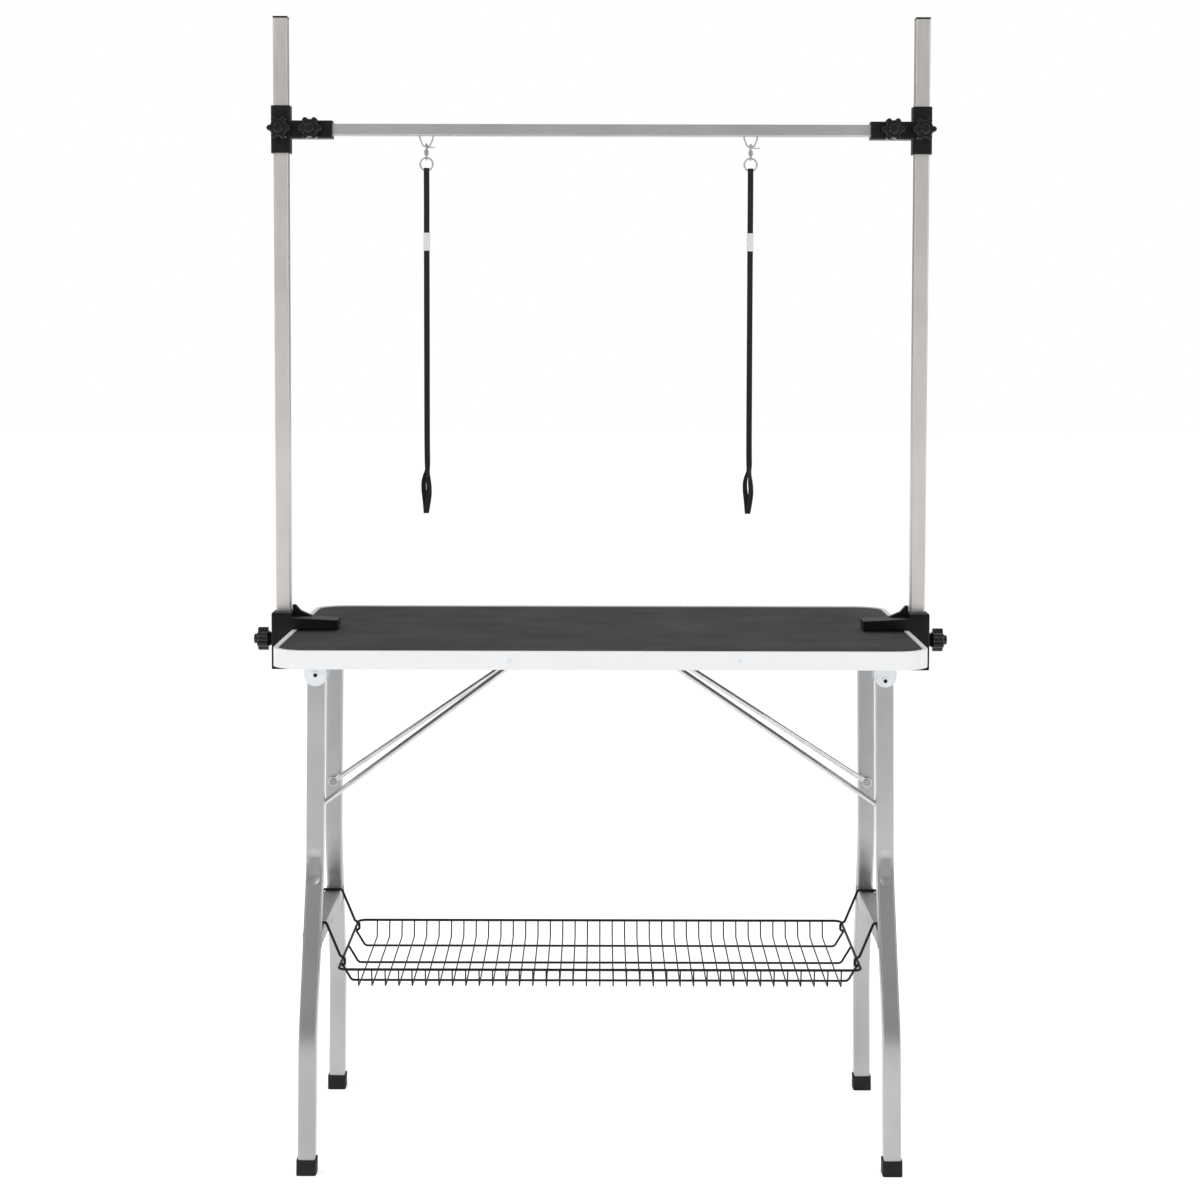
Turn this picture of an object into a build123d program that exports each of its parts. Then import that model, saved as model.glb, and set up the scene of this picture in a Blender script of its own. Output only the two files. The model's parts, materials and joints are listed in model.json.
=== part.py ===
from build123d import *

import os
from math import cos, pi, radians, sin, tan

# Folding grooming table with an H-shaped overhead arm, two leashes and a wire basket.
#
# Millimetres. +X is to the right, +Y to the back, +Z up. The origin is on the floor, midway between
# the feet. Every piece is built where it sits when the table stands ready for use.

# ---- driving dimensions ----

# Table top
TOP_LENGTH = 930
TOP_WIDTH = 600
TOP_CORNER = 50
TOP_UNDERSIDE = 753
TOP_THICKNESS = 26
TRIM_WALL = 2
TRIM_LIP = 7
TRIM_LIP_THICKNESS = 1.5
MAT_THICKNESS = 4
EDGE_SCREW_X = (-127, 196)

# Leg frames
PIVOT_X = 419
PIVOT_Z = {"left": 723, "right": 716}
BRACKET_DISC_Z = 723
BRACKET_DISC_RADIUS = 16.5
BRACKET_PLATE = 2.5
LEG_LEAN = 0.65
LEG_TUBE = 25
LEG_WALL = 1.5
LEG_TUBE_CORNER = 3
LEG_TOP_PAST_PIVOT = 12
LEG_TOP_Y = 125
LEG_FOOT_Y = 205
UPPER_BEND_Z = 432
LOWER_BEND_Z = 200
BEND_RADIUS = 150
CRIMP_RADIUS = 33
CRIMP_LENGTH = 25
CRIMP_TILT = 7.7
CRIMP_DEPTH = 0.6
CRIMP_FACE_Y = 138.7
CRIMP_Z = 438.7
LEG_BAR_Z = 333
FOOT_SIZE = 29
FOOT_HEIGHT = 22.5
FOOT_SOLE = 4

# Braces
BRACE_ROD = 8
BRACE_FOOT_Z = 520
BRACE_FOOT_Y = 109
BRACE_TOP_Z = 740
BRACE_TOP_X = {"left": 113, "right": 91}
BRACE_TOP_Y = {"left": 22, "right": 50}
BRACE_EYE_RADIUS = 7.5
BRACE_EYE_THICKNESS = 4
BRACE_RIVET_RADIUS = 3

# Basket
BASKET_X = 386
BASKET_Y = 154
BASKET_RIM_Z = 288
BASKET_FLOOR_Z = 262
BASKET_FLOOR_Y = 149
RIM_WIRE = 4
LONG_WIRE = 3.5
CROSS_WIRE = 2.2
CROSS_WIRE_COUNT = 37
CROSS_WIRE_PITCH = 19.8
LONG_WIRE_Y = (-104, 0, 104)
HOOK_WIRE = 4
HOOK_Y = 110
HOOK_CURL_RADIUS = 5

# Overhead arm
POST = 22
POST_WALL = 1.2
POST_X = 482.5
POST_BOTTOM = 728.5
POST_TOP = 1697
CAP_HEIGHT = 3
SLIDING_GAP = 0.3
BAR = 18
BAR_Z = 1531
BAR_HALF_LENGTH = 455
SLEEVE = 29
SLEEVE_HEIGHT = 71
ARM_SLEEVE_Y = 27
ARM_SLEEVE_HEIGHT = 27
ARM_SLEEVE_END = 405
ARM_KNOB_X = 436

# Clamps
CLAMP_INNER_X = 467
CLAMP_OUTER_X = 496.5
CLAMP_FRONT_Y = -45
CLAMP_BACK_Y = 17
CLAMP_BOTTOM = 719
CLAMP_TOP = 803.5
JAW_TIP_X = 397
JAW_BACK_Y = 5
JAW_TIP_HEIGHT = 14
LOWER_JAW_X = 417
LOWER_JAW_THICKNESS = 10
CLAMP_SCREW_X = 430
POST_KNOB_Z = 760

# Knobs
KNOB_RADIUS = 17.7
KNOB_LOBES = 6
KNOB_HUB = 6
KNOB_HEAD = 16
KNOB_CAP = 6
KNOB_HUB_RADIUS = 9
SCREW_RADIUS = 4
BOSS_RADIUS = 10

# Leashes
LEASH_X = {"left": -264, "right": 225}
EYELET_WIRE = 2.4
EYELET_Z = 1507
SNAP_WIRE = 3.2
SNAP_LOOP_RADIUS = 5
SNAP_EYE_RADIUS = 3.6
SNAP_EYE_WIRE = 2.4
RING_RADIUS = 9.5
RING_WIRE = 2.6
RING_Z = 1480
WEBBING_WIDTH = 8
WEBBING_THICKNESS = 1.6
WEBBING_STRAND_Y = 2.6
LOOP_BOTTOM_Z = 955
SLIDER_Z = 1350
SLIDER_HEIGHT = 27

SIDES = {"left": -1, "right": 1}

top_surface = TOP_UNDERSIDE + TOP_THICKNESS
mat_top = top_surface - TRIM_LIP_THICKNESS
board_bottom = TOP_UNDERSIDE + TRIM_LIP_THICKNESS
board_top = mat_top - MAT_THICKNESS


# ---- helpers ----

def block(x, y, z):
    """A box from (low, high) pairs along each axis."""
    size = [high - low for low, high in (x, y, z)]
    middle = [(high + low) / 2 for low, high in (x, y, z)]
    return Pos(*middle) * Box(*size)


def rod_z(x, y, low, high, radius):
    return Pos(x, y, (low + high) / 2) * Cylinder(radius, high - low)


def rod_y(x, z, low, high, radius):
    return Pos(x, (low + high) / 2, z) * Rot(90, 0, 0) * Cylinder(radius, high - low)


def rod_x(y, z, low, high, radius):
    return Pos((low + high) / 2, y, z) * Rot(0, 90, 0) * Cylinder(radius, high - low)


def plate_outline(length, width, corner, bottom, thickness):
    outline = Pos(0, 0, bottom) * RectangleRounded(length, width, corner)
    return extrude(outline, thickness)


def wire_along(points, radius, diameter):
    """A round wire through the points, with every corner rounded to the same radius."""
    path = FilletPolyline(*points, radius=radius)
    start = path.position_at(0)
    section = Plane(origin=start, z_dir=path.tangent_at(0)) * Circle(diameter / 2)
    return sweep(section, path=path)


def square_tube(length, width, wall, corner):
    """A square tube that stands on z = 0."""
    outer = RectangleRounded(width, width, corner)
    inner = RectangleRounded(width - 2 * wall, width - 2 * wall, max(corner - wall, 0.5))
    return extrude(outer - inner, length)


def mirrored(shape, side):
    """The piece for one end: built at +X, and mirrored for the left end."""
    return shape if SIDES[side] > 0 else mirror(shape, about=Plane.YZ)


def leaned(shape, side):
    """A leg frame piece, turned about its pivot so that the feet stand a little wider."""
    pivot = Pos(SIDES[side] * PIVOT_X, 0, PIVOT_Z[side])
    return pivot * Rot(0, -SIDES[side] * LEG_LEAN, 0) * pivot.inverse() * shape


def leg_line_x(side, z):
    """The x of a leg frame's middle plane at a height, with its lean."""
    return SIDES[side] * (PIVOT_X + (PIVOT_Z[side] - z) * tan(radians(LEG_LEAN)))


def save(node, *shapes):
    solids = [solid for shape in shapes for solid in shape.solids()]
    shape = solids[0] if len(solids) == 1 else Compound(children=solids)
    export_step(shape, f"parts/{node}.step")


# ---- table top ----

def edge_screw(x, sign):
    """A low-headed screw into the edge; sign is -1 at the front and 1 at the back."""
    face = sign * TOP_WIDTH / 2
    z = TOP_UNDERSIDE + TOP_THICKNESS / 2
    low, high = sorted((face + sign * 0.3, face - sign * 1.2))
    head = rod_y(x, z, low, high, 3.4)
    low, high = sorted((face, face - sign * 14))
    return head + rod_y(x, z, low, high, 1.6)


def bracket_screw(side, y, offset):
    x = SIDES[side] * PIVOT_X + offset
    under = TOP_UNDERSIDE - BRACKET_PLATE
    return rod_z(x, y, under - 2, under, 4) + rod_z(x, y, under, under + 16, 2)


def table_top():
    outer = plate_outline(TOP_LENGTH, TOP_WIDTH, TOP_CORNER, TOP_UNDERSIDE, TOP_THICKNESS)
    inset = TOP_CORNER - TRIM_WALL
    length = TOP_LENGTH - 2 * TRIM_WALL
    width = TOP_WIDTH - 2 * TRIM_WALL
    channel = plate_outline(length, width, inset, board_bottom, mat_top - board_bottom)
    mouth = plate_outline(TOP_LENGTH - 2 * TRIM_LIP, TOP_WIDTH - 2 * TRIM_LIP,
                          TOP_CORNER - TRIM_LIP, TOP_UNDERSIDE - 1, TOP_THICKNESS + 2)
    trim = outer - channel - mouth
    board = plate_outline(length, width, inset, board_bottom, board_top - board_bottom)
    mat = plate_outline(length, width, inset, board_top, MAT_THICKNESS)

    edge_screws = [edge_screw(x * -sign, sign) for x in EDGE_SCREW_X for sign in (-1, 1)]
    bracket_screws = [bracket_screw(side, y, offset) for side in SIDES
                      for y in (-LEG_TOP_Y, LEG_TOP_Y) for offset in (-24, 24)]
    for screw in edge_screws:
        trim -= screw
        board -= screw
    for screw in bracket_screws:
        board -= screw
    save("edge_trim", trim)
    save("table_board", board)
    save("rubber_mat", mat)
    save("edge_screws", *edge_screws)
    save("bracket_screws", *bracket_screws)
    return bracket_screws


# ---- leg brackets ----

def bracket(side, y, screws):
    """A steel U bracket: two round-ended cheeks and a flange under the board."""
    x = SIDES[side] * PIVOT_X
    gap = LEG_TUBE / 2 + 0.4
    flange_z = TOP_UNDERSIDE - BRACKET_PLATE
    flange = block((x - 34, x + 34), (y - gap - BRACKET_PLATE, y + gap + BRACKET_PLATE),
                   (flange_z, TOP_UNDERSIDE))
    shape = flange
    for low in (y - gap - BRACKET_PLATE, y + gap):
        high = low + BRACKET_PLATE
        disc = rod_y(x, BRACKET_DISC_Z, low, high, BRACKET_DISC_RADIUS)
        web = block((x - BRACKET_DISC_RADIUS, x + BRACKET_DISC_RADIUS), (low, high),
                    (BRACKET_DISC_Z, flange_z))
        shape += disc + web
    shape -= rod_y(x, PIVOT_Z[side], y - 30, y + 30, 4)
    for screw in screws:
        shape -= screw
    return shape


def pivot_rivet(side, y):
    """A hollow rivet through both cheeks and the top of a leg."""
    x = SIDES[side] * PIVOT_X
    z = PIVOT_Z[side]
    outer = LEG_TUBE / 2 + 0.4 + BRACKET_PLATE
    shape = rod_y(x, z, y - outer, y + outer, 4)
    shape += rod_y(x, z, y - outer - 1.2, y - outer, 6.2)
    shape += rod_y(x, z, y + outer, y + outer + 1.2, 6.2)
    return shape - rod_y(x, z, y - outer - 5, y + outer + 5, 3)


def brackets(screws):
    for side in SIDES:
        for name, y in (("front", -LEG_TOP_Y), ("rear", LEG_TOP_Y)):
            save(f"{side}_{name}_bracket", bracket(side, y, screws))
        save(f"{side}_pivot_rivets", *[pivot_rivet(side, y) for y in (-LEG_TOP_Y, LEG_TOP_Y)])


# ---- leg frames ----

def leg_path(side, sign):
    """The middle line of one leg: straight down, out to a wider stance, and straight down."""
    x = SIDES[side] * PIVOT_X
    points = [(x, sign * LEG_TOP_Y, PIVOT_Z[side] + LEG_TOP_PAST_PIVOT),
              (x, sign * LEG_TOP_Y, UPPER_BEND_Z),
              (x, sign * LEG_FOOT_Y, LOWER_BEND_Z),
              (x, sign * LEG_FOOT_Y, FOOT_SOLE)]
    return FilletPolyline(*points, radius=BEND_RADIUS)


def leg_solid(side, sign, width, corner):
    path = leg_path(side, sign)
    plane = Plane(origin=path.position_at(0), z_dir=(0, 0, -1), x_dir=(1, 0, 0))
    return sweep(plane * RectangleRounded(width, width, corner), path=path)


def crimp(side, sign):
    """What a leg's outer face is pressed in by at the upper bend: a wide shallow dent."""
    reach = CRIMP_RADIUS - CRIMP_DEPTH
    y = CRIMP_FACE_Y + reach * cos(radians(CRIMP_TILT))
    z = CRIMP_Z + reach * sin(radians(CRIMP_TILT))
    tool = Cylinder(CRIMP_RADIUS, CRIMP_LENGTH)
    for end in (-1, 1):
        tool += Pos(0, 0, end * CRIMP_LENGTH / 2) * Sphere(CRIMP_RADIUS)
    return Pos(SIDES[side] * PIVOT_X, sign * y, z) * Rot(sign * CRIMP_TILT, 0, 0) * tool


def brace_rivet(side, sign):
    """A shouldered rivet on a leg's inner face, for the brace's eye to turn on."""
    x = leg_line_x(side, BRACE_FOOT_Z)
    face = LEG_TOP_Y - LEG_TUBE / 2
    eye_low = BRACE_FOOT_Y - BRACE_EYE_THICKNESS / 2
    eye_high = BRACE_FOOT_Y + BRACE_EYE_THICKNESS / 2
    pieces = [(eye_low - 2.4, eye_low - 0.4, 6),
              (eye_low - 0.4, face + LEG_WALL, BRACE_RIVET_RADIUS),
              (eye_high + 0.4, face, 6),
              (face + LEG_WALL, face + LEG_WALL + 1.5, 5)]
    shape = None
    for low, high, radius in pieces:
        low, high = sorted((sign * low, sign * high))
        step = rod_y(x, BRACE_FOOT_Z, low, high, radius)
        shape = step if shape is None else shape + step
    return shape


def foot(side, sign):
    """A rubber cap over the leg's end, its sole cut level with the floor."""
    x = SIDES[side] * PIVOT_X
    y = sign * LEG_FOOT_Y
    outline = Pos(x, y, -3) * RectangleRounded(FOOT_SIZE, FOOT_SIZE, 4)
    cap = extrude(outline, FOOT_HEIGHT + 3)
    socket = Pos(x, y, FOOT_SOLE) * RectangleRounded(LEG_TUBE, LEG_TUBE, LEG_TUBE_CORNER)
    cap = leaned(cap - extrude(socket, FOOT_HEIGHT), side)
    return cap - block((-600, 600), (-300, 300), (-20, 0))


def basket_hook(side, y):
    """A wire that lies over the leg frame's bar and curls round the basket's end wire from above,
    open to the outside, so that it draws clear of the basket when the leg frame folds inwards."""
    bar_x = PIVOT_X + (PIVOT_Z[side] - LEG_BAR_Z) * tan(radians(LEG_LEAN))
    lift = LEG_TUBE / 2 + HOOK_WIRE / 2 + 0.5
    over = LEG_BAR_Z + LEG_TUBE / 2 + HOOK_WIRE / 2 + 0.15
    curl = HOOK_CURL_RADIUS
    outside = bar_x + lift
    inside = bar_x - lift
    points = [(outside, LEG_BAR_Z - 4), (outside, over), (inside, over),
              (BASKET_X + 2, BASKET_RIM_Z + curl + 5), (BASKET_X - curl, BASKET_RIM_Z + curl),
              (BASKET_X - curl, BASKET_RIM_Z - curl), (BASKET_X + 0.5, BASKET_RIM_Z - curl)]
    points = [(x, y, z) for x, z in points]
    path = FilletPolyline(*points, radius=[3.5, 3.5, 3, 2.6, 3.2])
    section = Plane(origin=path.position_at(0), z_dir=path.tangent_at(0)) * Circle(HOOK_WIRE / 2)
    return mirrored(sweep(section, path=path), side)


def leg_frame(side):
    legs = {}
    x = SIDES[side] * PIVOT_X
    splay = (LEG_FOOT_Y - LEG_TOP_Y) / (UPPER_BEND_Z - LOWER_BEND_Z)
    bar_half = LEG_TOP_Y + (UPPER_BEND_Z - LEG_BAR_Z) * splay
    bar = square_tube(2 * bar_half, LEG_TUBE, LEG_WALL, LEG_TUBE_CORNER)
    bar = Pos(x, -bar_half, LEG_BAR_Z) * Rot(-90, 0, 0) * bar
    for name, sign in (("front", -1), ("rear", 1)):
        filled = leg_solid(side, sign, LEG_TUBE, LEG_TUBE_CORNER)
        inner = leg_solid(side, sign, LEG_TUBE - 2 * LEG_WALL, LEG_TUBE_CORNER - LEG_WALL)
        bar -= filled
        leg = filled - inner - crimp(side, sign)
        leg -= rod_y(x, PIVOT_Z[side], sign * LEG_TOP_Y - 30, sign * LEG_TOP_Y + 30, 4.06)
        low, high = sorted((sign * 100, sign * LEG_TOP_Y))
        leg = leaned(leg, side)
        leg -= rod_y(leg_line_x(side, BRACE_FOOT_Z), BRACE_FOOT_Z, low, high, BRACE_RIVET_RADIUS)
        legs[name] = leg
        save(f"{side}_{name}_leg", leg)
    save(f"{side}_leg_bar", leaned(bar, side))
    save(f"{side}_feet", foot(side, -1), foot(side, 1))
    save(f"{side}_brace_rivets", brace_rivet(side, -1), brace_rivet(side, 1))
    save(f"{side}_basket_hooks", basket_hook(side, -HOOK_Y), basket_hook(side, HOOK_Y))


# ---- braces ----

def brace(side):
    """One bent rod: an eye on each leg, two arms that close towards the middle of the table, and a
    short cross piece that rests in the keeper under the board."""
    foot_x = leg_line_x(side, BRACE_FOOT_Z)
    top_x = SIDES[side] * BRACE_TOP_X[side]
    top_y = BRACE_TOP_Y[side]
    points = [(foot_x, -BRACE_FOOT_Y, BRACE_FOOT_Z), (top_x, -top_y, BRACE_TOP_Z),
              (top_x, top_y, BRACE_TOP_Z), (foot_x, BRACE_FOOT_Y, BRACE_FOOT_Z)]
    rod = wire_along(points, 9, BRACE_ROD)
    for sign in (-1, 1):
        low = sign * BRACE_FOOT_Y - BRACE_EYE_THICKNESS / 2
        high = low + BRACE_EYE_THICKNESS
        x_span = (foot_x - 12, foot_x + 12)
        z_span = (BRACE_FOOT_Z - 12, BRACE_FOOT_Z + 12)
        rod -= block(x_span, (low - 10, low), z_span)
        rod -= block(x_span, (high, high + 10), z_span)
        rod += rod_y(foot_x, BRACE_FOOT_Z, low, high, BRACE_EYE_RADIUS)
        rod -= rod_y(foot_x, BRACE_FOOT_Z, low - 1, high + 1, BRACE_RIVET_RADIUS + 0.06)
    return rod


def keeper(side):
    """A bent strip under the board: a stop on the outer side of the brace's cross piece and a short
    rest below it."""
    x = BRACE_TOP_X[side]
    half = 10 if side == "left" else 15
    stop = x + BRACE_ROD / 2 + 0.5
    rest_top = BRACE_TOP_Z - BRACE_ROD / 2 - 0.4
    shape = block((stop - 22, stop + 24), (-half, half), (TOP_UNDERSIDE - 2, TOP_UNDERSIDE))
    shape += block((stop, stop + 2), (-half, half), (rest_top - 2, TOP_UNDERSIDE))
    shape += block((x + 1, stop + 2), (-half, half), (rest_top - 2, rest_top))
    for offset in (10, 16):
        shape += rod_z(stop + offset, 0, TOP_UNDERSIDE - 4, TOP_UNDERSIDE - 2, 2.6)
    return mirrored(shape, side)


# ---- basket ----

def rim():
    """The rim: one closed wire rectangle with rounded corners."""
    corner = 12
    path = Pos(0, 0, BASKET_RIM_Z) * RectangleRounded(2 * BASKET_X, 2 * BASKET_Y, corner)
    wire = path.wires()[0]
    section = Plane(origin=wire.position_at(0), z_dir=wire.tangent_at(0)) * Circle(RIM_WIRE / 2)
    return sweep(section, path=wire)


def long_wire(y):
    """A wire along the basket's floor with both ends turned up to the rim's end wires."""
    top = BASKET_RIM_Z - RIM_WIRE / 2 - LONG_WIRE / 2
    floor = BASKET_FLOOR_Z - CROSS_WIRE / 2 - LONG_WIRE / 2
    bend_x = BASKET_X - 15
    points = [(-BASKET_X, y, top), (-bend_x, y, floor), (bend_x, y, floor), (BASKET_X, y, top)]
    return wire_along(points, 7, LONG_WIRE)


def cross_wire(x):
    """A U-shaped wire across the basket's floor and up both sides to the rim."""
    top = BASKET_RIM_Z - RIM_WIRE / 2 - 0.06
    points = [(x, -BASKET_Y, top), (x, -BASKET_FLOOR_Y, BASKET_FLOOR_Z),
              (x, BASKET_FLOOR_Y, BASKET_FLOOR_Z), (x, BASKET_Y, top)]
    return wire_along(points, 5, CROSS_WIRE)


def basket():
    middle = (CROSS_WIRE_COUNT - 1) / 2
    spots = [(n - middle) * CROSS_WIRE_PITCH for n in range(CROSS_WIRE_COUNT)]
    save("basket_rim", rim())
    save("basket_long_wires", *[long_wire(y) for y in LONG_WIRE_Y])
    save("basket_cross_wires", *[cross_wire(x) for x in spots])


# ---- knobs ----

def knob(reach):
    """A star knob on its screw. The screw's tip is at z = 0 and the knob's back at z = reach."""
    outline = Circle(KNOB_RADIUS * 0.74)
    for place in PolarLocations(KNOB_RADIUS * 0.76, KNOB_LOBES):
        outline += place * Circle(KNOB_RADIUS * 0.24)
    head = extrude(Pos(0, 0, reach + KNOB_HUB) * outline, KNOB_HEAD)
    head = chamfer(head.edges().group_by(Axis.Z)[-1], 1.2)
    head += Pos(0, 0, reach + KNOB_HUB / 2) * Cone(KNOB_HUB_RADIUS, KNOB_RADIUS * 0.7, KNOB_HUB)
    cap = Cylinder(KNOB_RADIUS * 0.42, 2 * KNOB_CAP)
    cap = fillet(cap.edges().group_by(Axis.Z)[-1], 2)
    head += Pos(0, 0, reach + KNOB_HUB + KNOB_HEAD) * cap
    return head + Pos(0, 0, reach / 2) * Cylinder(SCREW_RADIUS - 0.05, reach)


# ---- clamps ----

def clamp():
    """The right clamp: a socket for the post, a jaw on the table top and a lower jaw under it."""
    jaw_bottom = top_surface
    x_span = (CLAMP_INNER_X, CLAMP_OUTER_X)
    body = block(x_span, (CLAMP_FRONT_Y, CLAMP_BACK_Y), (CLAMP_BOTTOM, CLAMP_TOP))
    body = chamfer(body.edges().filter_by(Axis.X).group_by(Axis.Z)[-1], 6)
    body = fillet(body.edges().filter_by(Axis.Z), 3)
    jaw_side = Plane.XZ * Polyline((JAW_TIP_X, jaw_bottom), (CLAMP_INNER_X + 8, jaw_bottom),
                                   (CLAMP_INNER_X + 8, CLAMP_TOP - 7), (CLAMP_INNER_X - 18, CLAMP_TOP - 8),
                                   (JAW_TIP_X, jaw_bottom + JAW_TIP_HEIGHT), close=True)
    jaw = Pos(0, JAW_BACK_Y, 0) * extrude(make_face(jaw_side), JAW_BACK_Y - CLAMP_FRONT_Y)
    jaw = fillet(jaw.edges().filter_by(Axis.Z).group_by(Axis.X)[0], 5)
    rib_side = Plane.XZ * Polyline((CLAMP_INNER_X - 42, CLAMP_TOP - 14), (CLAMP_INNER_X + 2, CLAMP_TOP - 14),
                                   (CLAMP_INNER_X + 2, CLAMP_TOP + 9), (CLAMP_INNER_X - 2, CLAMP_TOP + 9),
                                   (CLAMP_INNER_X - 10, CLAMP_TOP), close=True)
    rib = Pos(0, 4, 0) * extrude(make_face(rib_side), 12)
    lower_top = CLAMP_BOTTOM + LOWER_JAW_THICKNESS
    lower = block((LOWER_JAW_X, CLAMP_INNER_X + 5), (-15, 15), (CLAMP_BOTTOM, lower_top))
    boss = rod_x(0, POST_KNOB_Z, CLAMP_OUTER_X - 1, CLAMP_OUTER_X + 3.5, BOSS_RADIUS)
    shape = body + jaw + rib + lower + boss
    hole = POST / 2 + SLIDING_GAP
    shape -= block((POST_X - hole, POST_X + hole), (-hole, hole), (POST_BOTTOM - 0.5, CLAMP_TOP + 20))
    shape -= rod_x(0, POST_KNOB_Z, POST_X, CLAMP_OUTER_X + 10, SCREW_RADIUS)
    shape -= rod_z(CLAMP_SCREW_X, 0, CLAMP_BOTTOM - 5, CLAMP_BOTTOM + 20, SCREW_RADIUS)
    return shape


def clamp_screw():
    """The screw under the table edge, with its pressure pad and a small round grip."""
    pad = rod_z(CLAMP_SCREW_X, 0, TOP_UNDERSIDE - 4, TOP_UNDERSIDE - 0.2, 9)
    shank = rod_z(CLAMP_SCREW_X, 0, CLAMP_BOTTOM - 16, TOP_UNDERSIDE - 4, SCREW_RADIUS - 0.05)
    grip = rod_z(CLAMP_SCREW_X, 0, CLAMP_BOTTOM - 16, CLAMP_BOTTOM - 6, 11)
    for lobe in PolarLocations(11, 8):
        grip -= Pos(CLAMP_SCREW_X, 0, CLAMP_BOTTOM - 11) * lobe * Cylinder(1.8, 12)
    return pad + shank + grip


# ---- overhead arm ----

def connector():
    """The right connector: a sleeve on the post and a shorter one across it for the bar."""
    low = POST_X - SLEEVE / 2
    high = POST_X + SLEEVE / 2
    z_span = (BAR_Z - SLEEVE_HEIGHT / 2, BAR_Z + SLEEVE_HEIGHT / 2)
    upright = block((low, high), (-SLEEVE / 2, SLEEVE / 2), z_span)
    upright = fillet(upright.edges().filter_by(Axis.Z), 4)
    across = block((ARM_SLEEVE_END, low + 3), (-ARM_SLEEVE_Y / 2, ARM_SLEEVE_Y / 2),
                   (BAR_Z - ARM_SLEEVE_HEIGHT / 2, BAR_Z + ARM_SLEEVE_HEIGHT / 2))
    across = fillet(across.edges().filter_by(Axis.X), 3)
    shape = upright + across
    for x, face in ((POST_X, SLEEVE / 2), (ARM_KNOB_X, ARM_SLEEVE_Y / 2)):
        shape += rod_y(x, BAR_Z, -face - 3, -face + 1, BOSS_RADIUS)
    hole = POST / 2 + SLIDING_GAP
    shape -= block((POST_X - hole, POST_X + hole), (-hole, hole), (BAR_Z - 60, BAR_Z + 60))
    half = BAR / 2
    shape -= block((ARM_SLEEVE_END - 5, BAR_HALF_LENGTH), (-half, half), (BAR_Z - half, BAR_Z + half))
    for x in (POST_X, ARM_KNOB_X):
        shape -= rod_y(x, BAR_Z, -SLEEVE, 0, SCREW_RADIUS)
    return shape


def overhead_arm():
    bar = square_tube(2 * BAR_HALF_LENGTH, BAR, POST_WALL, 2)
    save("overhead_bar", Pos(-BAR_HALF_LENGTH, 0, BAR_Z) * Rot(0, 90, 0) * bar)
    for side, sign in SIDES.items():
        post = square_tube(POST_TOP - POST_BOTTOM, POST, POST_WALL, 2)
        save(f"{side}_post", Pos(sign * POST_X, 0, POST_BOTTOM) * post)
        cap = Pos(sign * POST_X, 0, POST_TOP + CAP_HEIGHT / 2) * Box(POST, POST, CAP_HEIGHT)
        cap = fillet(cap.edges().group_by(Axis.Z)[-1], 1)
        plug = POST - 2 * POST_WALL
        cap += Pos(sign * POST_X, 0, POST_TOP - 6) * Box(plug - 0.6, plug - 0.6, 12)
        save(f"{side}_post_cap", cap)
        save(f"{side}_connector", mirrored(connector(), side))
        save(f"{side}_clamp", mirrored(clamp(), side))
        save(f"{side}_clamp_screw", mirrored(clamp_screw(), side))

        post_face = POST / 2 + 0.3
        reach = CLAMP_OUTER_X + 4 - (POST_X + post_face)
        place = Pos(POST_X + post_face, 0, POST_KNOB_Z) * Rot(0, 90, 0)
        save(f"{side}_post_knob", mirrored(place * knob(reach), side))
        place = Pos(POST_X, -post_face, BAR_Z) * Rot(90, 0, 0)
        save(f"{side}_sleeve_knob", mirrored(place * knob(SLEEVE / 2 + 3.5 - post_face), side))
        place = Pos(ARM_KNOB_X, -BAR / 2 - 0.3, BAR_Z) * Rot(90, 0, 0)
        save(f"{side}_bar_knob", mirrored(place * knob(ARM_SLEEVE_Y / 2 + 3.5 - BAR / 2 - 0.3), side))


# ---- leashes ----

def eyelet(x):
    """A wire staple under the bar."""
    top = BAR_Z - BAR / 2
    points = [(x - 10, 0, top), (x - 10, 0, top - 2.5), (x - 5.2, 0, EYELET_Z), (x + 5.2, 0, EYELET_Z),
              (x + 10, 0, top - 2.5), (x + 10, 0, top)]
    return wire_along(points, [2, 3.5, 3.5, 2], EYELET_WIRE)


def snap_hook(x):
    """A bolt snap: a loop round the eyelet, a block that guides the bolt and an eye for the ring."""
    loop_z = EYELET_Z + EYELET_WIRE / 2 + SNAP_WIRE / 2 + 0.3 - SNAP_LOOP_RADIUS
    eye_z = RING_Z + RING_RADIUS - RING_WIRE / 2 - SNAP_EYE_WIRE / 2 - 0.35 + SNAP_EYE_RADIUS
    upright = Pos(x, 0, loop_z) * Rot(0, 90, 0)
    loop = upright * Torus(SNAP_LOOP_RADIUS, SNAP_WIRE / 2)
    loop -= block((x - 3, x + 3), (-9, -2.4), (loop_z - 9, loop_z + 1.4))
    eye = Pos(x, 0, eye_z) * Rot(0, 90, 0) * Torus(SNAP_EYE_RADIUS, SNAP_EYE_WIRE / 2)
    z_span = (eye_z + SNAP_EYE_RADIUS - 0.6, loop_z - SNAP_LOOP_RADIUS + 1)
    guide = block((x - 2.6, x + 2.6), (-7, 3), z_span)
    guide = fillet(guide.edges().filter_by(Axis.Z), 1.2)
    for height in (0.25, 0.5, 0.75):
        z = z_span[0] + height * (z_span[1] - z_span[0])
        rib = block((x - 3.2, x + 3.2), (-7.5, 3.5), (z - 0.5, z + 0.5))
        guide += fillet(rib.edges().filter_by(Axis.Z), 1.5)
    return loop + eye + guide - rod_z(x, -SNAP_LOOP_RADIUS, EYELET_Z - 20, EYELET_Z + 5, 1.35)


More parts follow.
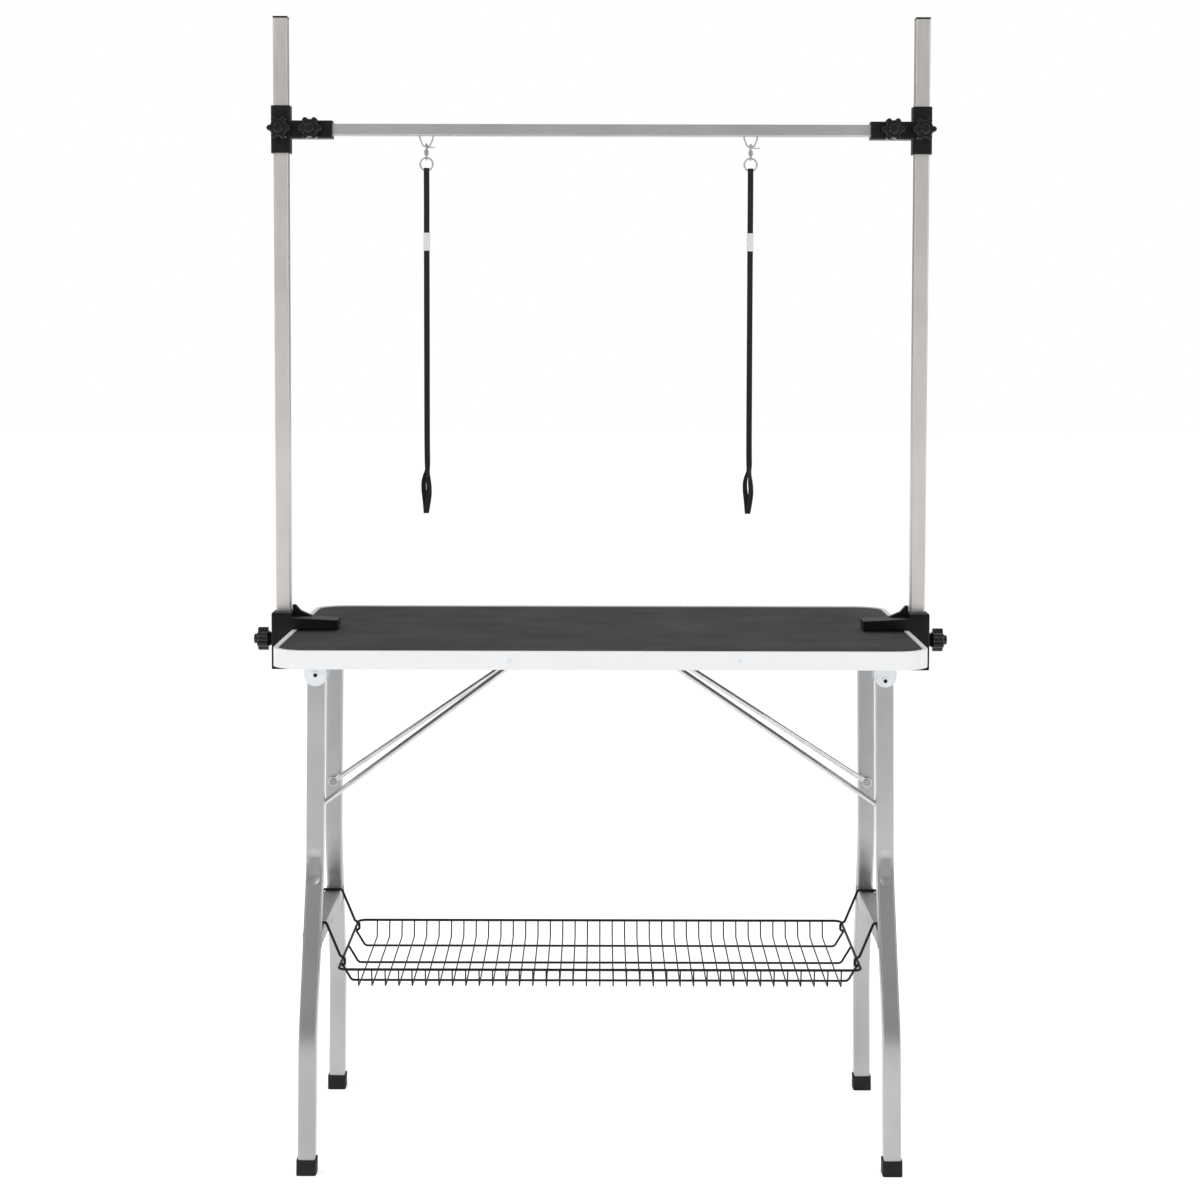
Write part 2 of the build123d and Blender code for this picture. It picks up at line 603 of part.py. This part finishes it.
def snap_bolt(x):
    """The bolt that closes the snap, with its thumb pin."""
    low = RING_Z + RING_RADIUS + SNAP_EYE_RADIUS + 2
    bolt = rod_z(x, -SNAP_LOOP_RADIUS, low, EYELET_Z - 0.6, 1.25)
    return bolt + rod_x(-SNAP_LOOP_RADIUS, EYELET_Z - 2.5, x, x + 13, 0.8)


def webbing(x):
    """The noose: one strip round the ring's lower side and down to the loop's end."""
    low = LOOP_BOTTOM_Z
    high = RING_Z - RING_RADIUS + 0.95
    outer = WEBBING_STRAND_Y + WEBBING_THICKNESS / 2
    inner = WEBBING_STRAND_Y - WEBBING_THICKNESS / 2
    across = Plane(origin=(x - WEBBING_WIDTH / 2, 0, (low + high) / 2), z_dir=(1, 0, 0), x_dir=(0, 0, 1))
    strip = SlotCenterToCenter(high - low, 2 * outer) - SlotCenterToCenter(high - low, 2 * inner)
    return extrude(across * strip, WEBBING_WIDTH)


def slider(x):
    """The cord stop round both strands of the noose."""
    shape = block((x - 4.8, x + 4.8), (-4.6, 4.6), (SLIDER_Z, SLIDER_Z + SLIDER_HEIGHT))
    shape = fillet(shape.edges().filter_by(Axis.Z), 1)
    slot = WEBBING_STRAND_Y + WEBBING_THICKNESS / 2 + 0.3
    opening = block((x - 4.3, x + 4.3), (-slot, slot), (SLIDER_Z - 1, SLIDER_Z + SLIDER_HEIGHT + 1))
    return shape - opening


def leashes():
    save("eyelets", *[eyelet(x) for x in LEASH_X.values()])
    for side, x in LEASH_X.items():
        save(f"{side}_snap_hook", snap_hook(x))
        save(f"{side}_snap_bolt", snap_bolt(x))
        save(f"{side}_ring", Pos(x, 0, RING_Z) * Rot(90, 0, 0) * Torus(RING_RADIUS, RING_WIRE / 2))
        save(f"{side}_webbing", webbing(x))
        save(f"{side}_slider", slider(x))


os.makedirs("parts", exist_ok=True)
brackets(table_top())
for end in SIDES:
    leg_frame(end)
    save(f"{end}_brace", brace(end))
    save(f"{end}_keeper", keeper(end))
basket()
overhead_arm()
leashes()
loop_length = 2 * (RING_Z - RING_RADIUS + 0.95 - LOOP_BOTTOM_Z) + 2 * pi * WEBBING_STRAND_Y
print(f"noose length {loop_length:.0f} mm, fold radii {WEBBING_STRAND_Y} mm at both ends")
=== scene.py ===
import json
from math import cos, pi, radians, sin

import bmesh
import bpy
from mathutils import Matrix, Vector


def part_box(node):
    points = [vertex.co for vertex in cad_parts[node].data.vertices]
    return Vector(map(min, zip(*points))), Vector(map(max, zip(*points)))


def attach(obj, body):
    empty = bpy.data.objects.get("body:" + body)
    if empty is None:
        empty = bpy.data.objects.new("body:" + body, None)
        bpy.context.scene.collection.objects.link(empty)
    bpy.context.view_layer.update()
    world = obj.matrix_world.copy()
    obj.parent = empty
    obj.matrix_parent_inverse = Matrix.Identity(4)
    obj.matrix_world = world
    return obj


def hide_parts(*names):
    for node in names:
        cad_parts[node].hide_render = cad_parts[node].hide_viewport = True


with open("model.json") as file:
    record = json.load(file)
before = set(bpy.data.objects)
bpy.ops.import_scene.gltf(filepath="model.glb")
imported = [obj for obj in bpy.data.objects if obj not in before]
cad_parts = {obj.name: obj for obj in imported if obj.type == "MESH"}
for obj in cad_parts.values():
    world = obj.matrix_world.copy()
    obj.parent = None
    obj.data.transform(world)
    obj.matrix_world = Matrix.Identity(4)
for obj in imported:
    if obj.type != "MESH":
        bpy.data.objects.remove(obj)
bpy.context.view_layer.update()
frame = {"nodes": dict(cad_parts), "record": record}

MM = 0.001
SIDES = ("left", "right")

# ---- camera and lights ----

# Metres, degrees, and millimetres for the lens. The shift is small enough to keep the post tops in
# the other views, so a slight pitch does the rest.
CAMERA_PLACE = (-0.0012, -3.66, 1.207)
CAMERA_PITCH = 3.47
CAMERA_ROLL = 0.12
CAMERA_LENS = 72.3
CAMERA_SENSOR = 36
CAMERA_SHIFT = -0.09

# How bright the surroundings are in reflections, from straight down at 0 to straight up at 1.
REFLECTED_SKY = ((0.0, 0.12), (0.5, 0.2), (0.72, 0.4), (1.0, 0.6))
# The Mix node's colour sockets, by number because its value sockets have the same names.
MIX_FIRST, MIX_SECOND, MIX_RESULT = 6, 7, 2

WHITE = (1, 1, 1, 1)
FLOOR_SIZE = 60
FLOOR_GREY = (0.78, 0.78, 0.78, 1)
FLOOR_GLOW = 0.66


def add_camera():
    data = bpy.data.cameras.new("camera")
    data.lens = CAMERA_LENS
    data.sensor_width = CAMERA_SENSOR
    data.shift_y = CAMERA_SHIFT
    camera = bpy.data.objects.new("camera", data)
    camera.location = CAMERA_PLACE
    turn = Matrix.Rotation(radians(90 - CAMERA_PITCH), 4, "X") @ Matrix.Rotation(radians(CAMERA_ROLL), 4, "Z")
    camera.rotation_euler = turn.to_euler()
    bpy.context.scene.collection.objects.link(camera)
    bpy.context.scene.camera = camera


def add_area_light(name, place, aim, size, watts):
    data = bpy.data.lights.new(name, "AREA")
    data.shape = "RECTANGLE"
    data.size, data.size_y = size
    data.energy = watts
    light = bpy.data.objects.new(name, data)
    light.location = place
    light.rotation_euler = (Vector(aim) - Vector(place)).to_track_quat("-Z", "Y").to_euler()
    bpy.context.scene.collection.objects.link(light)


def add_world():
    """A white backdrop, and surroundings that look darker in reflections from the top down."""
    world = bpy.data.worlds.new("studio")
    world.use_nodes = True
    tree = world.node_tree
    direction = tree.nodes.new("ShaderNodeTexCoord").outputs["Generated"]
    split = tree.nodes.new("ShaderNodeSeparateXYZ")
    tree.links.new(direction, split.inputs["Vector"])
    height = tree.nodes.new("ShaderNodeMath")
    height.operation = "MULTIPLY_ADD"
    height.inputs[1].default_value = 0.5
    height.inputs[2].default_value = 0.5
    tree.links.new(split.outputs["Z"], height.inputs[0])
    ramp = tree.nodes.new("ShaderNodeValToRGB")
    tree.links.new(height.outputs["Value"], ramp.inputs["Fac"])
    elements = ramp.color_ramp.elements
    for position, _ in REFLECTED_SKY[1:-1]:
        elements.new(position)
    for element, (position, value) in zip(elements, REFLECTED_SKY):
        element.position = position
        element.color = (value, value, value, 1)
    mix = tree.nodes.new("ShaderNodeMix")
    mix.data_type = "RGBA"
    seen = tree.nodes.new("ShaderNodeLightPath").outputs["Is Camera Ray"]
    tree.links.new(seen, mix.inputs["Factor"])
    tree.links.new(ramp.outputs["Color"], mix.inputs[MIX_FIRST])
    mix.inputs[MIX_SECOND].default_value = WHITE
    tree.links.new(mix.outputs[MIX_RESULT], tree.nodes["Background"].inputs["Color"])
    bpy.context.scene.world = world


def floor_material():
    """Pale and slightly glowing from above, and clear from below, so that the underside shows."""
    material = bpy.data.materials.new("pale_floor")
    material.use_nodes = True
    tree = material.node_tree
    shader = tree.nodes["Principled BSDF"]
    shader.inputs["Base Color"].default_value = FLOOR_GREY
    shader.inputs["Roughness"].default_value = 0.8
    shader.inputs["Specular IOR Level"].default_value = 0.2
    shader.inputs["Emission Color"].default_value = WHITE
    shader.inputs["Emission Strength"].default_value = FLOOR_GLOW
    mix = tree.nodes.new("ShaderNodeMixShader")
    tree.links.new(tree.nodes.new("ShaderNodeNewGeometry").outputs["Backfacing"], mix.inputs[0])
    tree.links.new(shader.outputs["BSDF"], mix.inputs[1])
    tree.links.new(tree.nodes.new("ShaderNodeBsdfTransparent").outputs["BSDF"], mix.inputs[2])
    tree.links.new(mix.outputs["Shader"], tree.nodes["Material Output"].inputs["Surface"])
    return material


def add_floor():
    bpy.ops.mesh.primitive_plane_add(size=FLOOR_SIZE, location=(0, 0, 0))
    floor = bpy.context.object
    floor.name = "floor"
    floor.data.materials.append(floor_material())


def add_studio():
    add_world()
    add_floor()
    add_area_light("key", place=(-2.8, -2.6, 3.4), aim=(0, 0, 0.8), size=(2.2, 2.2), watts=44)
    add_area_light("fill", place=(2.8, -2.2, 2.4), aim=(0, 0, 0.9), size=(1.4, 2.4), watts=20)
    add_area_light("back", place=(0.4, 3.2, 3.2), aim=(0, 0, 1.0), size=(2.6, 1.4), watts=24)
    bpy.context.scene.view_settings.view_transform = "Standard"
    bpy.context.scene.view_settings.look = "None"


# ---- materials ----

# Noise mostly stays between these.
NOISE_LOW = 0.25
NOISE_HIGH = 0.75
NOISE_ROUGHNESS = 0.55
# A wave texture of scale 1 repeats after this many metres.
WAVE_PITCH = 0.314
# How the object coordinates are stretched for lines drawn along each axis.
DRAWN_ALONG = {"X": (1, 40, 40), "Y": (40, 1, 40), "Z": (40, 40, 1)}


class Shader:
    """A node material, built up a few nodes at a time."""

    def __init__(self, name, roughness, metallic=0.0, specular=0.5):
        self.material = bpy.data.materials.new(name)
        self.material.use_nodes = True
        self.tree = self.material.node_tree
        self.surface = self.tree.nodes["Principled BSDF"]
        self.surface.inputs["Roughness"].default_value = roughness
        self.surface.inputs["Metallic"].default_value = metallic
        self.surface.inputs["Specular IOR Level"].default_value = specular
        self.place = self.tree.nodes.new("ShaderNodeTexCoord").outputs["Object"]
        self.normal = None

    def link(self, source, target):
        self.tree.links.new(source, target)

    def stretched(self, scale):
        """The object coordinates, scaled along each axis."""
        mapping = self.tree.nodes.new("ShaderNodeMapping")
        mapping.inputs["Scale"].default_value = scale
        self.link(self.place, mapping.inputs["Vector"])
        return mapping.outputs["Vector"]

    def noise(self, scale, detail, stretch=(1, 1, 1)):
        node = self.tree.nodes.new("ShaderNodeTexNoise")
        node.inputs["Scale"].default_value = scale
        node.inputs["Detail"].default_value = detail
        node.inputs["Roughness"].default_value = NOISE_ROUGHNESS
        self.link(self.stretched(stretch), node.inputs["Vector"])
        return node.outputs["Fac"]

    def cells(self, scale):
        node = self.tree.nodes.new("ShaderNodeTexVoronoi")
        node.inputs["Scale"].default_value = scale
        self.link(self.place, node.inputs["Vector"])
        return node.outputs["Distance"]

    def ribs(self, pitch, direction):
        """Nearly even ribs of that pitch, in metres, one after another along an axis."""
        node = self.tree.nodes.new("ShaderNodeTexWave")
        node.bands_direction = direction
        node.inputs["Scale"].default_value = WAVE_PITCH / pitch
        node.inputs["Distortion"].default_value = 0.4
        node.inputs["Detail"].default_value = 1.0
        self.link(self.place, node.inputs["Vector"])
        return node.outputs["Fac"]

    def colour(self, source, low, high, start=0.3, end=0.7):
        """A colour between low and high, as source goes from start to end."""
        node = self.tree.nodes.new("ShaderNodeValToRGB")
        node.color_ramp.elements[0].position = start
        node.color_ramp.elements[0].color = (*low, 1)
        node.color_ramp.elements[1].position = end
        node.color_ramp.elements[1].color = (*high, 1)
        self.link(source, node.inputs["Fac"])
        self.link(node.outputs["Color"], self.surface.inputs["Base Color"])

    def gloss(self, source, low, high):
        """Roughness between low and high."""
        node = self.tree.nodes.new("ShaderNodeMapRange")
        node.inputs["From Min"].default_value = NOISE_LOW
        node.inputs["From Max"].default_value = NOISE_HIGH
        node.inputs["To Min"].default_value = low
        node.inputs["To Max"].default_value = high
        self.link(source, node.inputs["Value"])
        self.link(node.outputs["Result"], self.surface.inputs["Roughness"])

    def rounded(self, radius):
        """Edges that catch the light as if they were rounded to that radius, in metres."""
        node = self.tree.nodes.new("ShaderNodeBevel")
        node.samples = 4
        node.inputs["Radius"].default_value = radius
        self.normal = node.outputs["Normal"]
        self.link(self.normal, self.surface.inputs["Normal"])

    def bump(self, source, depth, strength=0.5):
        """Adds relief of that depth, in metres."""
        node = self.tree.nodes.new("ShaderNodeBump")
        node.inputs["Distance"].default_value = depth
        node.inputs["Strength"].default_value = strength
        self.link(source, node.inputs["Height"])
        if self.normal:
            self.link(self.normal, node.inputs["Normal"])
        self.normal = node.outputs["Normal"]
        self.link(self.normal, self.surface.inputs["Normal"])


def grey(value, tint=0.0):
    """A grey, cooler with a tint above 0 and warmer below it."""
    return (value, value * (1 + tint / 2), value * (1 + tint))


def rubber_sheet():
    look = Shader("rubber_sheet", 0.75, specular=0.25)
    look.colour(look.noise(900, 2), grey(0.024, 0.08), grey(0.042, 0.1), 0.35, 0.7)
    look.bump(look.cells(420), 0.4 * MM, 0.55)
    look.bump(look.noise(1500, 2), 0.15 * MM)
    look.gloss(look.noise(12, 4), 0.68, 0.85)
    return look.material


def edge_strip():
    look = Shader("edge_strip", 0.35, metallic=0.1)
    drawn = look.noise(60, 4, stretch=(1, 1, 60))
    look.colour(drawn, grey(0.9, 0.02), grey(0.98, 0.02), 0.3, 0.75)
    look.gloss(look.noise(25, 5), 0.28, 0.42)
    look.bump(drawn, 0.04 * MM, 0.35)
    return look.material


def board_laminate():
    look = Shader("board_laminate", 0.5)
    look.colour(look.noise(40, 6, stretch=(1, 6, 1)), grey(0.05), grey(0.085))
    look.bump(look.noise(700, 3), 0.1 * MM, 0.4)
    look.gloss(look.noise(18, 4), 0.42, 0.6)
    return look.material


def satin_tube(name, low, high, rough, along, tint=0.0):
    """Tube with faint drawing lines along an axis, and greys between low and high."""
    look = Shader(name, 0.4, metallic=0.9)
    drawn = look.noise(22, 5, stretch=DRAWN_ALONG[along])
    look.colour(look.noise(7, 3), grey(low, tint), grey(high, tint))
    look.gloss(drawn, rough - 0.06, rough + 0.08)
    look.bump(drawn, 0.05 * MM, 0.3)
    look.bump(look.noise(900, 2), 0.03 * MM, 0.3)
    return look.material


def plated(name, low, high, rough, tint=0.02, metallic=0.9):
    """Zinc, nickel or chrome plate, with greys between low and high."""
    look = Shader(name, rough, metallic=metallic)
    look.colour(look.noise(45, 5), grey(low, tint), grey(high, tint))
    look.gloss(look.noise(120, 4), rough - 0.05, rough + 0.08)
    look.bump(look.noise(600, 2), 0.04 * MM, 0.3)
    return look.material


def black_paint(name, low, high, rough, grain, depth, specular=0.22):
    """Black paint, plastic or rubber with a fine grain, whose edges catch the light."""
    look = Shader(name, rough, specular=specular)
    look.rounded(1.2 * MM)
    look.colour(look.noise(30, 4), grey(low, 0.14), grey(high, 0.14))
    look.bump(look.noise(grain, 3), depth)
    look.gloss(look.noise(50, 4), rough - 0.06, rough + 0.1)
    return look.material


def woven_tape():
    look = Shader("woven_tape", 0.85, specular=0.25)
    look.surface.inputs["Sheen Weight"].default_value = 0.2
    look.surface.inputs["Sheen Roughness"].default_value = 0.5
    ribs = look.ribs(1.1 * MM, "Z")
    look.colour(ribs, grey(0.008, 0.12), grey(0.022, 0.12), 0.2, 0.8)
    look.bump(ribs, 0.4 * MM, 0.8)
    look.bump(look.noise(2500, 2), 0.2 * MM)
    return look.material


def make_materials():
    """One material for each material slot in the record."""
    return {
        "mat_rubber": rubber_sheet(),
        "board": board_laminate(),
        "trim_aluminium": edge_strip(),
        "zinc_steel": plated("zinc_plate", 0.78, 0.92, rough=0.3, tint=0.07),
        "silver_tube": satin_tube("silver_tube", 0.42, 0.51, rough=0.34, along="Z", tint=0.02),
        "foot_rubber": black_paint("foot_rubber", 0.009, 0.016, rough=0.6, grain=900, depth=0.2 * MM),
        "bright_rod": plated("bright_rod", 0.62, 0.76, rough=0.18),
        "black_wire": black_paint("coated_wire", 0.008, 0.014, rough=0.35, grain=500, depth=0.1 * MM),
        "arm_aluminium": satin_tube("drawn_aluminium", 0.72, 0.82, rough=0.36, along="Z", tint=-0.07),
        "black_casting": black_paint("coated_casting", 0.005, 0.011, rough=0.36, grain=1200,
                                     depth=0.2 * MM, specular=0.15),
        "black_moulding": black_paint("moulded_black", 0.006, 0.012, rough=0.32, grain=1400,
                                      depth=0.15 * MM, specular=0.24),
        "knob_plastic": black_paint("knob_black", 0.006, 0.011, rough=0.2, grain=900,
                                    depth=0.1 * MM, specular=0.45),
        "bright_fitting": plated("nickel_plate", 0.4, 0.54, rough=0.34, metallic=0.5),
        "slider_metal": plated("satin_metal", 0.74, 0.86, rough=0.42, metallic=0.2),
        "webbing": woven_tape(),
    }


def paint(obj, material):
    obj.data.materials.clear()
    obj.data.materials.append(material)
    for polygon in obj.data.polygons:
        polygon.material_index = 0


def paint_frame(materials):
    """Each CAD node gets its slot's material, apart from those whose tube runs along another axis
    and the duller rivets."""
    special = {
        "overhead_bar": satin_tube("drawn_aluminium_bar", 0.54, 0.64, rough=0.36, along="X"),
        "_leg_bar": satin_tube("silver_tube_bar", 0.42, 0.51, rough=0.36, along="Y", tint=0.02),
        "_brace_rivets": plated("rivet_steel", 0.36, 0.46, rough=0.34),
    }
    for part in frame["record"]["subparts"]:
        material = materials[part["material_slot"]]
        for ending, other in special.items():
            if part["node"].endswith(ending):
                material = other
        paint(frame["nodes"][part["node"]], material)


# ---- mesh helpers ----

def join_rings(mesh, rings, closed=False):
    """A skin over rings of points, with a face at each end unless it closes on itself."""
    pairs = list(zip(rings, rings[1:]))
    if closed:
        pairs.append((rings[-1], rings[0]))
    for low, high in pairs:
        for n in range(len(low)):
            after = (n + 1) % len(low)
            mesh.faces.new((low[n], low[after], high[after], high[n]))
    if not closed:
        mesh.faces.new(list(reversed(rings[0])))
        mesh.faces.new(rings[-1])


def tube_along(mesh, points, radii, closed=False, sides=8):
    """A round tube through points, with a radius at each."""
    angles = [2 * pi * n / sides for n in range(sides)]
    rings = []
    for index, point in enumerate(points):
        before = points[index - 1] if closed or index else point
        after = points[(index + 1) % len(points)] if closed or index < len(points) - 1 else point
        along = (after - before).normalized()
        side = along.orthogonal() if abs(along.x) > 0.99 else Vector((1, 0, 0)).cross(along)
        side.normalize()
        up = along.cross(side)
        rings.append([mesh.verts.new(point + (side * cos(a) + up * sin(a)) * radii[index]) for a in angles])
    join_rings(mesh, rings, closed)


def add_mesh(name, mesh, material):
    """A smooth-shaded object made from a bmesh."""
    bmesh.ops.recalc_face_normals(mesh, faces=mesh.faces)
    data = bpy.data.meshes.new(name)
    mesh.to_mesh(data)
    mesh.free()
    for polygon in data.polygons:
        polygon.use_smooth = True
    data.materials.append(material)
    obj = bpy.data.objects.new(name, data)
    bpy.context.scene.collection.objects.link(obj)
    return obj


# ---- nooses ----

# The noose's route: millimetres from the leash's upright line, then the height in millimetres.
NOOSE_ROUTE = (
    (0, 0, 1474.0), (0, -2.7, 1474.0), (0, -2.6, 1466), (0.1, -2.6, 1420), (0, -2.6, 1377),
    (0, -2.6, 1350), (-0.1, -2.6, 1250), (0, -2.6, 1150), (0, -2.6, 1050), (0.8, -2.6, 1018),
    (2.0, -2.6, 1004), (3.6, -2.6, 985), (1.2, -2.6, 968), (-1.4, -2.6, 952.9), (-1.8, 2.6, 952.9),
    (-2.8, 2.6, 969), (-6.4, 2.6, 995), (-3.8, 2.6, 1010), (0.4, 2.6, 1020), (0, 2.6, 1050),
    (0, 2.6, 1150), (0.1, 2.6, 1250), (0, 2.6, 1350), (0, 2.6, 1377), (0.1, 2.6, 1420),
    (0, 2.6, 1466), (0, 2.7, 1474.0), (0, 0, 1474.0),
)
# How many steps the smooth line takes from one of the route's points to the next.
ROUTE_STEPS = 10
# Along the route, in metres.
TAPE_WIDTH = 8.3 * MM
TAPE_THICKNESS = 1.6 * MM
STRAND_Y = 2.6 * MM
# The tape's section: its edge's points in degrees, its face's as fractions of the flat half width,
# and its faces' height as a fraction of its edges'.
EDGE_POINTS = (-90, -45, 0, 45, 90)
FACE_POINTS = (0.5, 0, -0.5)
FACE_HEIGHT = 0.93
# How far each strand is turned about its upright line, in degrees, at heights in metres.
FRONT_TURNS = ((1.034, 0), (1.014, 52), (0.994, 22), (0.964, 10), (0.94, 10))
BACK_TURNS = ((1.034, 0), (1.016, 52), (0.996, 34), (0.974, 12), (0.94, 10))


def leash_x(side):
    """Where a leash's upright line is."""
    return sum(corner.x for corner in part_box(side + "_webbing")) / 2


def smooth(value):
    """Eases from 0 to 1."""
    value = min(max(value, 0), 1)
    return value * value * (3 - 2 * value)


def route_points(name, x):
    """Points along the smooth line that follows the noose's route."""
    curve = bpy.data.curves.new(name + "_route", "CURVE")
    curve.dimensions = "3D"
    curve.resolution_u = ROUTE_STEPS
    spline = curve.splines.new("NURBS")
    spline.points.add(len(NOOSE_ROUTE) - 1)
    for point, (dx, y, z) in zip(spline.points, NOOSE_ROUTE):
        point.co = (x + dx * MM, y * MM, z * MM, 1)
    spline.order_u = 3
    spline.use_endpoint_u = True
    holder = bpy.data.objects.new(name + "_route", curve)
    mesh = bpy.data.meshes.new_from_object(holder)
    points = [vertex.co.copy() for vertex in mesh.vertices]
    bpy.data.objects.remove(holder)
    bpy.data.meshes.remove(mesh)
    return points


def tape_section():
    """The outline of the flat tape with its rounded edges, as (across, out) pairs."""
    bead = TAPE_THICKNESS / 2
    flat = TAPE_WIDTH / 2 - bead
    edge = [(flat + bead * cos(radians(d)), bead * sin(radians(d))) for d in EDGE_POINTS]
    face = [(flat * f, bead * FACE_HEIGHT) for f in FACE_POINTS]
    half = edge + face
    return half + [(-across, -out) for across, out in half]


def tape_turn(place):
    """The tape's turn at a place on the noose, in radians."""
    turns = FRONT_TURNS if place.y < 0 else BACK_TURNS
    for (high, start), (low, end) in zip(turns, turns[1:]):
        if low <= place.z <= high:
            return radians(start + (end - start) * smooth((high - place.z) / (high - low)))
    return 0


def tape_rings(mesh, points):
    """The tape's section at each point, square to its line and turned as the tape is there."""
    section = tape_section()
    rings = []
    for index, point in enumerate(points):
        before = points[max(index - 1, 0)]
        after = points[min(index + 1, len(points) - 1)]
        along = (after - before).normalized()
        turn = tape_turn(point)
        across = Vector((cos(turn), sin(turn), 0))
        across = (across - along * across.dot(along)).normalized()
        out = along.cross(across)
        rings.append([mesh.verts.new(point + across * a + out * o) for a, o in section])
    return rings


def make_noose(side, material):
    points = route_points(side, leash_x(side))
    mesh = bmesh.new()
    join_rings(mesh, tape_rings(mesh, points))
    noose = add_mesh(side + "_noose", mesh, material)
    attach(noose, side + "_leash")
    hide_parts(side + "_webbing")


# ---- stitching ----

# The rows' heights in metres.
STITCH_ROWS = (1.4595, 1.462, 1.4645)
STITCH_COUNT = 4
STITCH_PITCH = 1.75 * MM
STITCH_LENGTH = 1.3 * MM
STITCH_LEAN = 0.3 * MM
# A stitch's height off the tape at fractions of its length.
STITCH_ARCH = ((0, -0.1 * MM), (0.25, 0.1 * MM), (0.75, 0.1 * MM), (1, -0.1 * MM))
THREAD_RADIUS = 0.26 * MM
THREAD_END_RADIUS = 0.16 * MM


def add_stitch(mesh, start, face):
    """One stitch from its start, on the front (face -1) or the back (face 1) of the noose."""
    places = [start + Vector((STITCH_LENGTH * f, face * lift, STITCH_LEAN * f)) for f, lift in STITCH_ARCH]
    tube_along(mesh, places, [THREAD_END_RADIUS, THREAD_RADIUS, THREAD_RADIUS, THREAD_END_RADIUS], sides=6)


def make_stitching(side, material):
    """Rows of thread across both strands, under the fold that holds the ring."""
    first = leash_x(side) - (STITCH_COUNT - 1) / 2 * STITCH_PITCH - STITCH_LENGTH / 2
    mesh = bmesh.new()
    for z in STITCH_ROWS:
        for face in (-1, 1):
            y = face * (STRAND_Y + TAPE_THICKNESS / 2)
            for n in range(STITCH_COUNT):
                add_stitch(mesh, Vector((first + n * STITCH_PITCH, y, z)), face)
    thread = add_mesh(side + "_stitching", mesh, material)
    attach(thread, side + "_leash")


# ---- welds ----

WELD_RADIUS = 1.5 * MM
WELD_POINTS = 96
# The bead's middle stands off the leg by this much of its radius.
WELD_STAND_OFF = 0.3
# The bead swells and narrows by this much of its radius, once in this many points.
WELD_RIPPLE = 0.16
WELD_RIPPLE_POINTS = 3
# The bead's path is an ellipse this much larger than the tube, flattened to the tube's sides. Where
# it goes past the tube's rounded corners, it is pulled in by this much of the distance past them.
WELD_ELLIPSE = 1.42
WELD_CORNER_PULL = 0.25
WELD_CORNER_RADIUS = 3 * MM


def weld_loop(middle, half_x, half_z):
    """Points round a square tube's end, in the plane of the leg it is welded to."""
    points = []
    for n in range(WELD_POINTS):
        angle = 2 * pi * n / WELD_POINTS
        x = max(min(half_x * WELD_ELLIPSE * cos(angle), half_x), -half_x)
        z = max(min(half_z * WELD_ELLIPSE * sin(angle), half_z), -half_z)
        past_x = max(abs(x) - (half_x - WELD_CORNER_RADIUS), 0)
        past_z = max(abs(z) - (half_z - WELD_CORNER_RADIUS), 0)
        pull = 1 - WELD_CORNER_PULL * max(past_x + past_z - WELD_CORNER_RADIUS, 0) / half_x
        points.append(middle + Vector((x * pull, 0, z * pull)))
    return points


def make_welds(side, material):
    """The rippled beads that join the cross bar to the two legs."""
    low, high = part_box(side + "_leg_bar")
    middle = (low + high) / 2
    half = (high - low) / 2
    ripple = [sin(2 * pi * n / WELD_RIPPLE_POINTS) for n in range(WELD_POINTS)]
    radii = [WELD_RADIUS * (1 + WELD_RIPPLE * swell) for swell in ripple]
    mesh = bmesh.new()
    for y in (low.y + WELD_RADIUS * WELD_STAND_OFF, high.y - WELD_RADIUS * WELD_STAND_OFF):
        points = weld_loop(Vector((middle.x, y, middle.z)), half.x, half.z)
        tube_along(mesh, points, radii, closed=True)
    welds = add_mesh(side + "_bar_welds", mesh, material)
    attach(welds, side + "_legs")


# ---- rivets ----

RIVET_HALF_LENGTH = 16.6 * MM
# A near-black plug lies this deep in its rivet and just fits the bore. It is painted shade for the shadowed
# inside of the hollow rivet.
# At each end it narrows to this much of its radius, over this length.
RIVET_SHADE_DEPTH = 2 * MM
RIVET_SHADE_RADIUS = 2.97 * MM
RIVET_SHADE_END = 0.6
RIVET_SHADE_TAPER = 1 * MM


def body_of(node):
    """The body that carries a CAD node."""
    for body, nodes in frame["record"]["behaviour"]["bodies"].items():
        if node in nodes:
            return body


def make_rivet_painted_shades(side, material):
    """Near-black plugs inside the two hollow pivot rivets: painted shade for their shadowed bores."""
    low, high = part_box(side + "_pivot_rivets")
    middle = (low + high) / 2
    reach = RIVET_HALF_LENGTH - RIVET_SHADE_DEPTH
    offsets = (-reach, RIVET_SHADE_TAPER - reach, reach - RIVET_SHADE_TAPER, reach)
    end_radius = RIVET_SHADE_RADIUS * RIVET_SHADE_END
    radii = [end_radius, RIVET_SHADE_RADIUS, RIVET_SHADE_RADIUS, end_radius]
    mesh = bmesh.new()
    for y in (low.y + RIVET_HALF_LENGTH, high.y - RIVET_HALF_LENGTH):
        places = [Vector((middle.x, y + offset, middle.z)) for offset in offsets]
        tube_along(mesh, places, radii, sides=20)
    painted_shades = add_mesh(side + "_rivet_painted_shades", mesh, material)
    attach(painted_shades, body_of(side + "_pivot_rivets"))


# ---- the scene ----

materials = make_materials()
add_camera()
add_studio()
paint_frame(materials)
weld_metal = satin_tube("weld_bead", 0.38, 0.5, rough=0.4, along="X")
# Near-black plate for the painted shade inside the hollow pivot rivets.
rivet_shade_black = plated("rivet_painted_shade", 0.02, 0.04, rough=0.5)
sewing_thread = black_paint("sewing_thread", 0.02, 0.035, rough=0.6, grain=3000, depth=0.1 * MM)
for side in SIDES:
    make_noose(side, materials["webbing"])
    make_stitching(side, sewing_thread)
    make_welds(side, weld_metal)
    # The rivet plugs are painted shade for the shadowed bores of the hollow rivets.
    make_rivet_painted_shades(side, rivet_shade_black)
